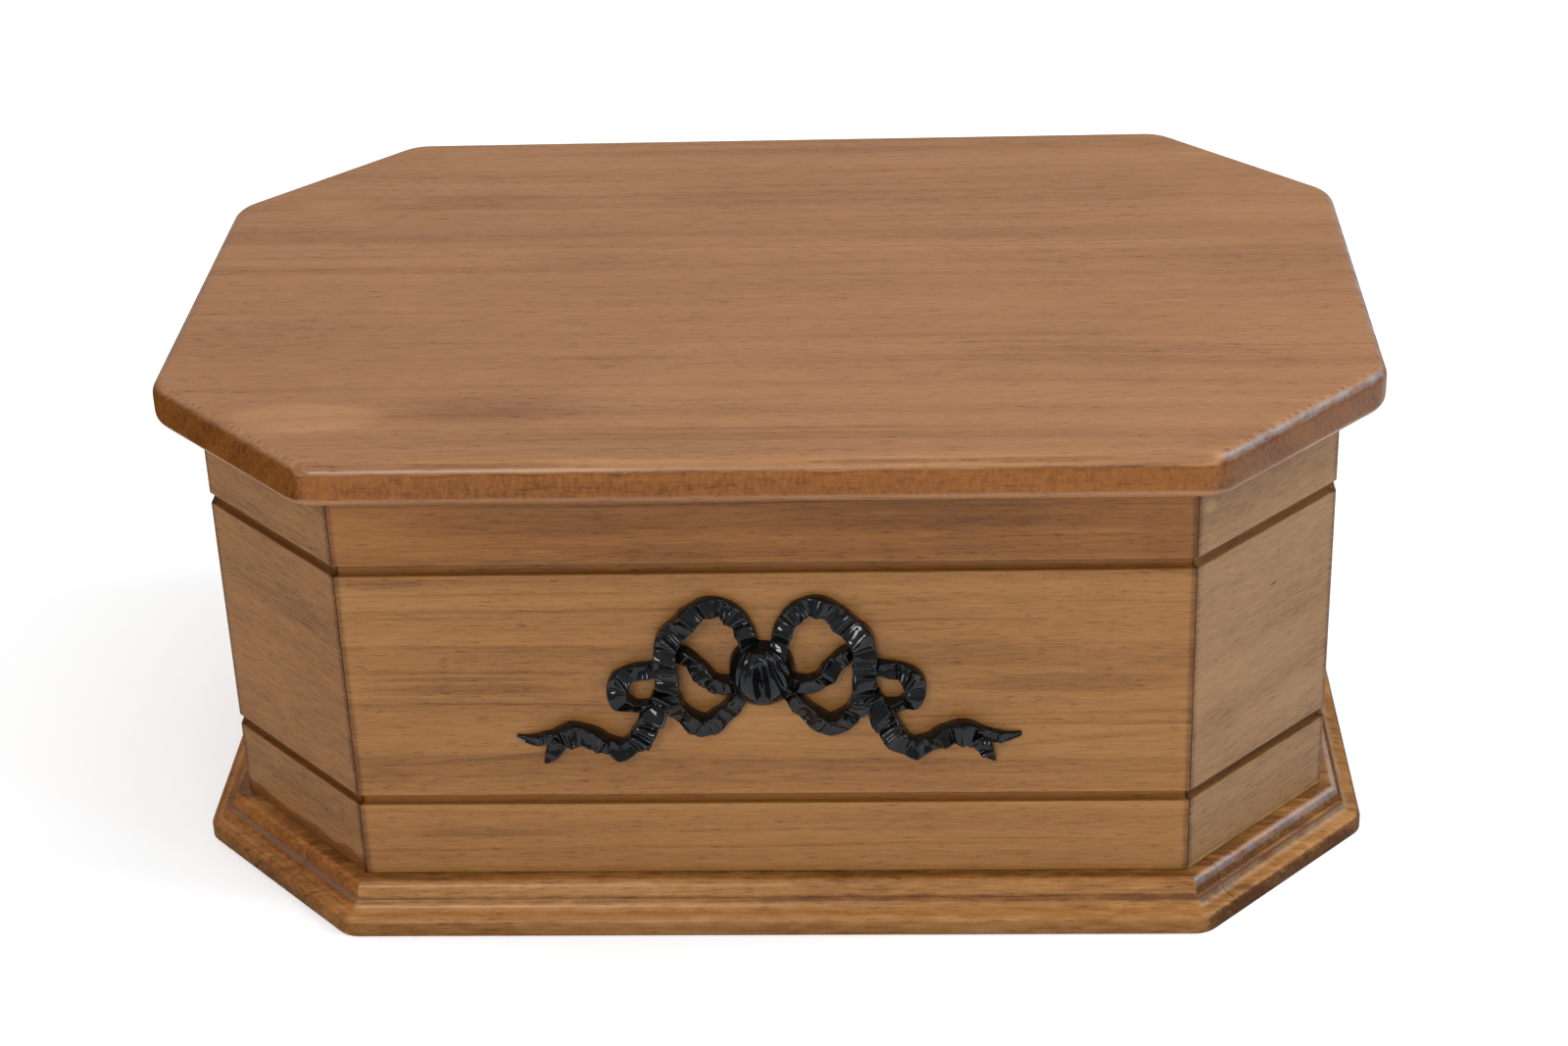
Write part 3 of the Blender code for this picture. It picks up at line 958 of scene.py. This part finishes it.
@dataclass
class RibbonBow:
    """The cast ribbon bow: gathered ribbons on both sides of a bud-like knot.

    knot_radii are in millimetres. The knot's slot and boss each have a half width and a half height
    as shares of the knot's own, and a depth in millimetres.
    """

    rise: float = 7.5 * MM
    gap: float = 0.3 * MM
    step: float = 0.35 * MM
    section_points: int = 28
    relief: float = 5.0 * MM
    pleat_pitch: float = 4.0 * MM
    pleat_height: float = 2.0 * MM
    wave_height: float = 3.8 * MM
    full_width: float = 3.3 * MM
    roll_height: float = 8.0 * MM
    knot_radii: tuple[float, float, float] = (13.2, 14.0, 14.2)
    knot_shift: float = -1.5 * MM
    knot_segments: tuple[int, int] = (200, 110)
    knot_power: float = 2.6
    knot_slot: tuple[float, float, float] = (0.28, 0.76, 9.0)
    knot_boss: tuple[float, float, float] = (0.10, 0.24, 3.0)
    weld: float = 0.005 * MM
    creases: tuple[Crease, ...] = (
        Crease(-0.90, 0.07, 1.6, 1.1), Crease(-0.70, 0.05, 1.7, 1.9), Crease(-0.52, 0.05, 1.6, 2.4),
        Crease(0.62, 0.07, 3.2, 0.0), Crease(0.90, 0.05, 1.8, 0.2),
    )
    paint: GlossPaint = GlossPaint()
    runs: tuple[Run, ...] = (
        Run(((5.0, 9.0, 7.5, 3.6), (8.4, 22.4, 7.0, 3.8), (14.4, 29.6, 7.0, 3.6), (21.4, 31.8, 7.5, 3.3),
             (28.0, 28.2, 8.0, 3.9), (33.6, 22.2, 8.2, 4.4), (38.8, 16.0, 9.2, 4.7), (39.9, 7.5, 8.6, 4.7),
             (39.5, -2.0, 8.8, 4.9), (39.2, -10.0, 8.2, 4.5), (34.6, -18.6, 7.8, 4.0),
             (25.8, -24.2, 8.6, 4.3), (18.4, -20.2, 7.8, 4.2), (12.4, -13.4, 7.4, 3.6),
             (6.0, -6.0, 7.0, 3.4)), 1.0, 3.4),
        Run(((6.0, -3.0, 7.0, 3.4), (16.0, -5.0, 6.4, 3.4), (22.2, -3.2, 7.0, 3.8), (27.4, 3.2, 6.2, 3.9),
             (33.0, 8.8, 5.6, 3.3), (39.0, 9.4, 5.6, 3.2)), 2.0, -1.6),
        Run(((38.0, 3.0, 5.4, 3.0), (47.6, 2.0, 6.0, 2.8), (54.6, 0.4, 6.8, 3.2), (59.8, -4.6, 8.0, 4.2),
             (59.0, -11.4, 7.4, 3.8), (53.2, -15.6, 6.4, 3.0), (46.0, -15.8, 5.6, 3.0)), 3.0, 2.6),
        Run(((41.5, -10.6, 6.2, 4.4), (47.0, -20.8, 8.0, 4.9), (52.0, -30.0, 7.8, 4.4),
             (58.4, -34.8, 7.6, 3.4), (65.2, -33.0, 7.8, 3.4), (71.8, -29.2, 8.2, 3.7),
             (79.0, -27.8, 8.4, 4.2), (85.2, -29.8, 6.8, 3.8), (89.6, -31.2, 5.0, 2.6)), 4.0, 1.6),
        Run(((84.0, -28.8, 6.4, 3.0), (90.0, -30.6, 5.0, 2.6), (96.4, -31.4, 3.6, 1.8),
             (102.4, -30.4, 2.0, 0.7)), 5.0, 0.5),
        Run(((83.4, -30.4, 6.4, 3.8), (86.8, -35.2, 5.4, 3.5), (89.4, -39.6, 4.0, 2.3),
             (91.6, -43.4, 2.2, 0.6)), 6.0, -0.5),
    )

    def middle(self) -> Vector:
        """Find the knot's centre.

        Returns:
            The centre, on the plane of the bow's flat back.
        """
        low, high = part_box("wall_front")
        walls = Walls()
        height = (low.z + walls.lower_groove + high.z - walls.upper_groove) / 2 + self.rise
        return Vector((0.0, low.y - self.gap, height))

    def paths(self) -> bpy.types.Mesh:
        """Lay out the ribbons' centre lines.

        Returns:
            Chains of edges, with each ribbon's widths and heights kept on their points.
        """
        middle = self.middle()
        points, edges, widths, crowns, phases, leans = [], [], [], [], [], []
        for side in (1.0, -1.0):
            for run in self.runs:
                first = len(points)
                for across, up, crown, half_width in run.points:
                    points.append((side * across * MM, middle.y, middle.z + up * MM))
                    widths.append(half_width * MM)
                    crowns.append(crown * MM)
                    phases.append(run.phase + 10.0 * side)
                    leans.append(run.lean * side * MM)
                edges += [(i, i + 1) for i in range(first, len(points) - 1)]
        mesh = bpy.data.meshes.new("bow_paths")
        mesh.from_pydata(points, edges, [])
        for name, values in (("half_width", widths), ("crown", crowns), ("phase", phases),
                             ("lean", leans)):
            mesh.attributes.new(name, "FLOAT", "POINT").data.foreach_set("value", values)
        return mesh

    def ribbon_tree(self) -> bpy.types.NodeTree:
        """Make the Geometry Nodes tree that sweeps a gathered ribbon along every path.

        Returns:
            The tree.
        """
        group = bpy.data.node_groups.new("gathered_ribbon", "GeometryNodeTree")
        face = group.interface
        face.new_socket("Paths", in_out="INPUT", socket_type="NodeSocketGeometry")
        sizes = ("Relief", "Pleat Pitch", "Pleat Height", "Wave Height", "Roll Height", "Full Width",
                 "Back")
        for name in ("Step", *sizes):
            face.new_socket(name, in_out="INPUT", socket_type="NodeSocketFloat")
        face.new_socket("Section Points", in_out="INPUT", socket_type="NodeSocketInt")
        face.new_socket("Paint", in_out="INPUT", socket_type="NodeSocketMaterial")
        face.new_socket("Ribbons", in_out="OUTPUT", socket_type="NodeSocketGeometry")
        nodes = Nodes(group)
        given = nodes.node("NodeGroupInput").outputs
        line = nodes.out("GeometryNodeMeshToCurve", None, {"Mesh": given["Paths"]})
        line = nodes.out("GeometryNodeCurveSplineType", {"spline_type": "CATMULL_ROM"}, {"Curve": line})
        line = nodes.out("GeometryNodeResampleCurve", {"mode": "LENGTH"},
                         {"Curve": line, "Length": given["Step"]})
        run = nodes.out("GeometryNodeSplineParameter", output="Length")
        place = nodes.out("GeometryNodeInputPosition")
        tangent = nodes.out("GeometryNodeInputTangent")
        for name, kind, value in (("run", "FLOAT", run), ("centre", "FLOAT_VECTOR", place),
                                  ("heading", "FLOAT_VECTOR", tangent)):
            line = self.stored(nodes, line, name, kind, value)
        circle = nodes.out("GeometryNodeCurvePrimitiveCircle", {"mode": "RADIUS"},
                           {"Resolution": given["Section Points"], "Radius": 1.0})
        across, lift, _ = nodes.parts(place)
        circle = self.stored(nodes, circle, "across", "FLOAT", across)
        circle = self.stored(nodes, circle, "lift", "FLOAT", lift)
        tube = nodes.out("GeometryNodeCurveToMesh", None,
                         {"Curve": line, "Profile Curve": circle, "Fill Caps": True})
        shape = self.shape(nodes, {name: Sock(nodes, given[name]) for name in sizes})
        tube = nodes.out("GeometryNodeSetPosition", None, {"Geometry": tube, "Position": shape})
        tube = nodes.out("GeometryNodeSetShadeSmooth", None, {0: tube})
        tube = nodes.out("GeometryNodeRealizeInstances", None, {0: tube})
        tube = nodes.out("GeometryNodeSetMaterial", None, {"Geometry": tube, "Material": given["Paint"]})
        nodes.node("NodeGroupOutput", None, {0: tube})
        return group

    @staticmethod
    def stored(nodes: Nodes, geometry: Socket, name: str, kind: str, value: Socket | Sock) -> Socket:
        """Keep a value of a data type on the points of a geometry, under a name."""
        values = {"Geometry": geometry, "Name": name, "Value": value}
        return nodes.out("GeometryNodeStoreNamedAttribute", {"data_type": kind}, values)

    @staticmethod
    def read(nodes: Nodes, name: str, kind: str = "FLOAT") -> Socket:
        """Return the socket of a kept value."""
        return nodes.out("GeometryNodeInputNamedAttribute", {"data_type": kind}, {"Name": name})

    def shape(self, nodes: Nodes, sizes: dict[str, Sock]) -> Socket:
        """Work out where each point of a ribbon goes.

        Args:
            nodes: The tree.
            sizes: The tree's inputs by name.

        Returns:
            The position's socket.
        """
        across, lift, run, width, crown, phase, lean = (
            Sock(nodes, self.read(nodes, name))
            for name in ("across", "lift", "run", "half_width", "crown", "phase", "lean"))
        centre_x, _, centre_z = nodes.parts(self.read(nodes, "centre", "FLOAT_VECTOR"))
        heading_x, _, heading_z = nodes.parts(self.read(nodes, "heading", "FLOAT_VECTOR"))
        turn = run / sizes["Pleat Pitch"]
        stray = nodes.noise((turn * 0.35, across * 0.30, 0.0), 1.0, 0.5, phase)
        skew = (nodes.noise((turn * 0.20, 5.0, 0.0), 1.0, 0.5, phase + 1.0) - 0.5) * 2.2
        saw = nodes.math("FRACT", turn + across * skew + stray * 2.2)
        saw = saw ** 0.7
        fold = saw * (1.0 - saw) * 4.0
        loud = nodes.noise((turn * 0.32, across * 0.3, 7.0), 1.0, 0.5, phase + 3.0).rise(0.47, 0.62)
        full = (width / sizes["Full Width"]).at_most(1.0) ** 2.0
        pleat = (fold - 0.7) * (0.05 + loud * 0.95) * sizes["Pleat Height"]
        zigzag = nodes.math("PINGPONG", turn * 0.37 + across * skew * 0.30 + stray * 1.1, 0.5) * 2.0 - 0.5
        swell = nodes.noise((turn * 0.25, 2.0, 0.0), 1.0, 0.5, phase + 5.0).rise(0.32, 0.58)
        wave = zigzag * (0.30 + swell * 0.70)
        roll = nodes.noise((turn * 0.34, 9.0, 0.0), 1.0, 0.5, phase + 7.0) - 0.5
        side = nodes.math("SIGN", across) * abs(across) ** 0.42
        front = lift.at_least(0.0) ** 0.28
        hollow = (1.0 - side * side) * 0.9 * MM
        slope = abs(lean) * 0.5 + lean * side * 0.5
        facet = wave * sizes["Wave Height"] + roll * side * sizes["Roll Height"]
        rim = 1.0 - abs(side) ** 8.0 * 0.55
        height = (crown - slope * front - sizes["Relief"] * (1.0 - front)
                  + ((pleat * rim + facet) * full - hollow) * front
                  + lift.at_most(0.0) * 0.02).at_least(0.0)
        wide = side * width * (1.0 + (wave * 0.12 + fold * loud * 0.02) * full)
        x = centre_x - heading_z * wide
        z = centre_z + heading_x * wide
        return nodes.vector(x, sizes["Back"] - height, z)

    def ribbons(self, paint: bpy.types.Material) -> bpy.types.Mesh:
        """Sweep the ribbons and return them as a plain mesh.

        Args:
            paint: Their material.

        Returns:
            The mesh.
        """
        host = placed("bow_paths", self.paths())
        sweep = host.modifiers.new("gathered_ribbon", "NODES")
        sweep.node_group = self.ribbon_tree()
        given = {"Step": self.step, "Relief": self.relief, "Pleat Pitch": self.pleat_pitch,
                 "Pleat Height": self.pleat_height, "Wave Height": self.wave_height,
                 "Roll Height": self.roll_height, "Full Width": self.full_width, "Back": self.middle().y,
                 "Section Points": self.section_points, "Paint": paint}
        for item in sweep.node_group.interface.items_tree:
            if item.in_out == "INPUT" and item.name in given:
                sweep[item.identifier] = given[item.name]
        bpy.context.view_layer.update()
        seen = host.evaluated_get(bpy.context.evaluated_depsgraph_get())
        mesh = bpy.data.meshes.new_from_object(seen)
        host.modifiers.clear()
        bpy.data.objects.remove(host, do_unlink=True)
        return mesh

    def knot_depth(self, across: float, up: float) -> float:
        """Work out how deep the knot's surface lies below its egg.

        Args:
            across: The place across the egg, from -1 to 1.
            up: The place up the egg, from -1 to 1.

        Returns:
            The depth in millimetres.
        """
        reach = math.sqrt(max(1.0 - up * up, 0.02))
        turn = abs(across) / reach + (0.42 if across > 0.0 else 0.08) * up
        depth = 0.0
        for crease in self.creases:
            if crease.place * across > 0.0:
                fade = min(1.0, max(0.0, 1.0 - crease.lift * (0.35 - up)))
                aside = (turn - abs(crease.place)) / crease.width
                depth += crease.depth * reach * fade * math.exp(-aside ** 2)
        centre = 0.03 - 0.08 * up
        half_width, half_height, slot_depth = self.knot_slot
        slot = math.hypot((across - centre) / half_width, (up - 0.02) / half_height)
        half_width, half_height, boss_height = self.knot_boss
        boss = math.exp(-((across - centre + 0.02) / half_width) ** 2 - ((up + 0.04) / half_height) ** 2)
        return depth + slot_depth * max(0.0, 1.0 - slot) ** 0.85 - boss_height * boss

    def add_knot(self, bm: bmesh.types.BMesh) -> None:
        """Add the knot, a bud with a deep slot at its middle and upright creases on both sides.

        Args:
            bm: The mesh that it joins.
        """
        middle = self.middle() + Vector((self.knot_shift, 0.0, 0.0))
        rounds, bands = self.knot_segments
        made = bmesh.ops.create_uvsphere(bm, u_segments=rounds, v_segments=bands, radius=1.0)
        for vert in made["verts"]:
            x, y, z = vert.co
            girth = 1.0
            if y < 0.0:
                girth -= self.knot_depth(x, z) * -y / self.knot_radii[1]
            square = max(0.0, 1.0 - abs(z) ** self.knot_power) ** (1 / self.knot_power)
            square = min(square / math.sqrt(max(1.0 - z ** 2, 0.01)), 1.4)
            vert.co.x = x * square * (0.3 + 0.7 * girth) * self.knot_radii[0] * MM
            vert.co.y = y * girth * self.knot_radii[1] * MM
            vert.co.z = z * self.knot_radii[2] * MM
            vert.co += middle
            vert.co.y = min(vert.co.y, middle.y)

    def build(self) -> bpy.types.Object:
        """Make the whole bow as one casting.

        Returns:
            The piece.
        """
        paint = self.paint.material()
        bm = bmesh.new()
        bm.from_mesh(self.ribbons(paint))
        self.add_knot(bm)
        bmesh.ops.remove_doubles(bm, verts=bm.verts, dist=self.weld)
        bmesh.ops.recalc_face_normals(bm, faces=bm.faces)
        mesh = mesh_of(bm, "bow_casting", smooth=True)
        mesh.materials.clear()
        mesh.materials.append(paint)
        for name in ("run", "centre", "heading", "across", "lift", "half_width", "crown", "phase", "lean"):
            mesh.attributes.remove(mesh.attributes[name])
        return dressed("bow_casting", mesh, "ribbon_bow")


@dataclass(frozen=True)
class Lamp:
    """A soft box: where it hangs, its width and height, its power in watts and its colour."""

    name: str
    place: Point
    size: tuple[float, float]
    power: float
    colour: Colour


@dataclass
class Studio:
    """A pale floor, soft lights and the camera at the photograph's angle."""

    eye: Point = (0.065171, -1.156678, 0.764627)
    right: Point = (0.998539, 0.040790, -0.035434)
    down: Point = (-0.013403, -0.448318, -0.893774)
    ahead: Point = (-0.052343, 0.892943, -0.447117)
    lens: float = 68.474
    sensor: float = 36.0
    shift: tuple[float, float] = (0.010174, -0.104934)
    sight: float = 50.0
    floor_radius: float = 6.0
    floor_glow: float = 0.16
    aim: Point = (0.0, 0.0, 0.1)
    lamps: tuple[Lamp, ...] = (
        Lamp("key", (1.6, -0.1, 1.7), (1.1, 1.1), 29.0, (0.95, 0.97, 1.0)),
        Lamp("front", (-0.7, -2.1, 1.6), (0.70, 0.55), 24.5, (1.0, 0.985, 0.96)),
        Lamp("window", (2.0, 0.3, 1.25), (0.45, 0.9), 6.5, (0.50, 0.76, 1.0)),
        Lamp("corner", (1.75, -1.15, 1.55), (0.34, 0.46), 3.8, (0.30, 0.64, 1.0)),
        Lamp("left", (-2.0, 0.4, 1.3), (0.9, 0.9), 4.0, (1.0, 1.0, 1.0)),
    )

    def camera(self) -> None:
        """Set the camera at the photograph's viewpoint."""
        data = bpy.data.cameras.new("camera")
        data.lens = self.lens
        data.sensor_width = self.sensor
        data.shift_x, data.shift_y = self.shift
        data.clip_end = self.sight
        camera = placed("camera", data)
        axes = (Vector(self.right), -Vector(self.down), -Vector(self.ahead))
        camera.matrix_world = Matrix.Translation(self.eye) @ Matrix(axes).transposed().to_4x4()
        bpy.context.scene.camera = camera

    def floor(self) -> None:
        """Lay a wide pale floor under the casket."""
        bm = bmesh.new()
        bmesh.ops.create_circle(bm, cap_ends=True, segments=96, radius=self.floor_radius)
        mesh = mesh_of(bm, "floor", smooth=False)
        surface = Surface("floor_paper")
        x, y, _ = surface.coordinates()
        cloud = surface.noise((x * 3.0, y * 3.0, 0.0), 2.0, 0.5, 1.0)
        surface.set({"Roughness": 0.9, "Emission Color": (1.0, 1.0, 1.0, 1.0),
                     "Emission Strength": self.floor_glow})
        paper = surface.blend(cloud, (0.90, 0.90, 0.90), (0.93, 0.93, 0.93))
        mesh.materials.append(surface.coloured(paper))
        placed("floor", mesh)

    def hang(self, lamp: Lamp) -> None:
        """Hang a soft box that faces the casket.

        Args:
            lamp: The soft box.
        """
        data = bpy.data.lights.new(lamp.name, "AREA")
        data.shape = "RECTANGLE"
        data.size, data.size_y = lamp.size
        data.energy = lamp.power
        data.color = lamp.colour
        box = placed(lamp.name, data)
        box.location = lamp.place
        box.rotation_euler = (Vector(self.aim) - Vector(lamp.place)).to_track_quat("-Z", "Y").to_euler()

    def sky(self) -> None:
        """Surround the scene with pale light, brighter overhead."""
        world = bpy.data.worlds.new("studio")
        world.use_nodes = True
        nodes = Nodes(world.node_tree)
        _, _, height = nodes.parts(nodes.out("ShaderNodeTexCoord", output="Generated"))
        light = 0.40 + height.rise(0.05, 0.9) * 0.48
        background = world.node_tree.nodes["Background"]
        background.inputs["Color"].default_value = (0.97, 0.985, 1.0, 1.0)
        nodes.feed(background.inputs["Strength"], light)
        bpy.context.scene.world = world

    def build(self) -> None:
        """Set up the floor, the lights and the camera."""
        self.floor()
        self.sky()
        for lamp in self.lamps:
            self.hang(lamp)
        self.camera()
        bpy.context.scene.view_settings.view_transform = "Standard"
        LOG.info("studio ready")


def main() -> None:
    """Build the casket piece by piece, then its studio."""
    logging.basicConfig(level=logging.INFO, format="%(name)s: %(message)s")
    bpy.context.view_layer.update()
    BaseBoard().build()
    Walls().build()
    Lid().build()
    RibbonBow().build()
    Studio().build()


if __name__ == "__main__":
    main()
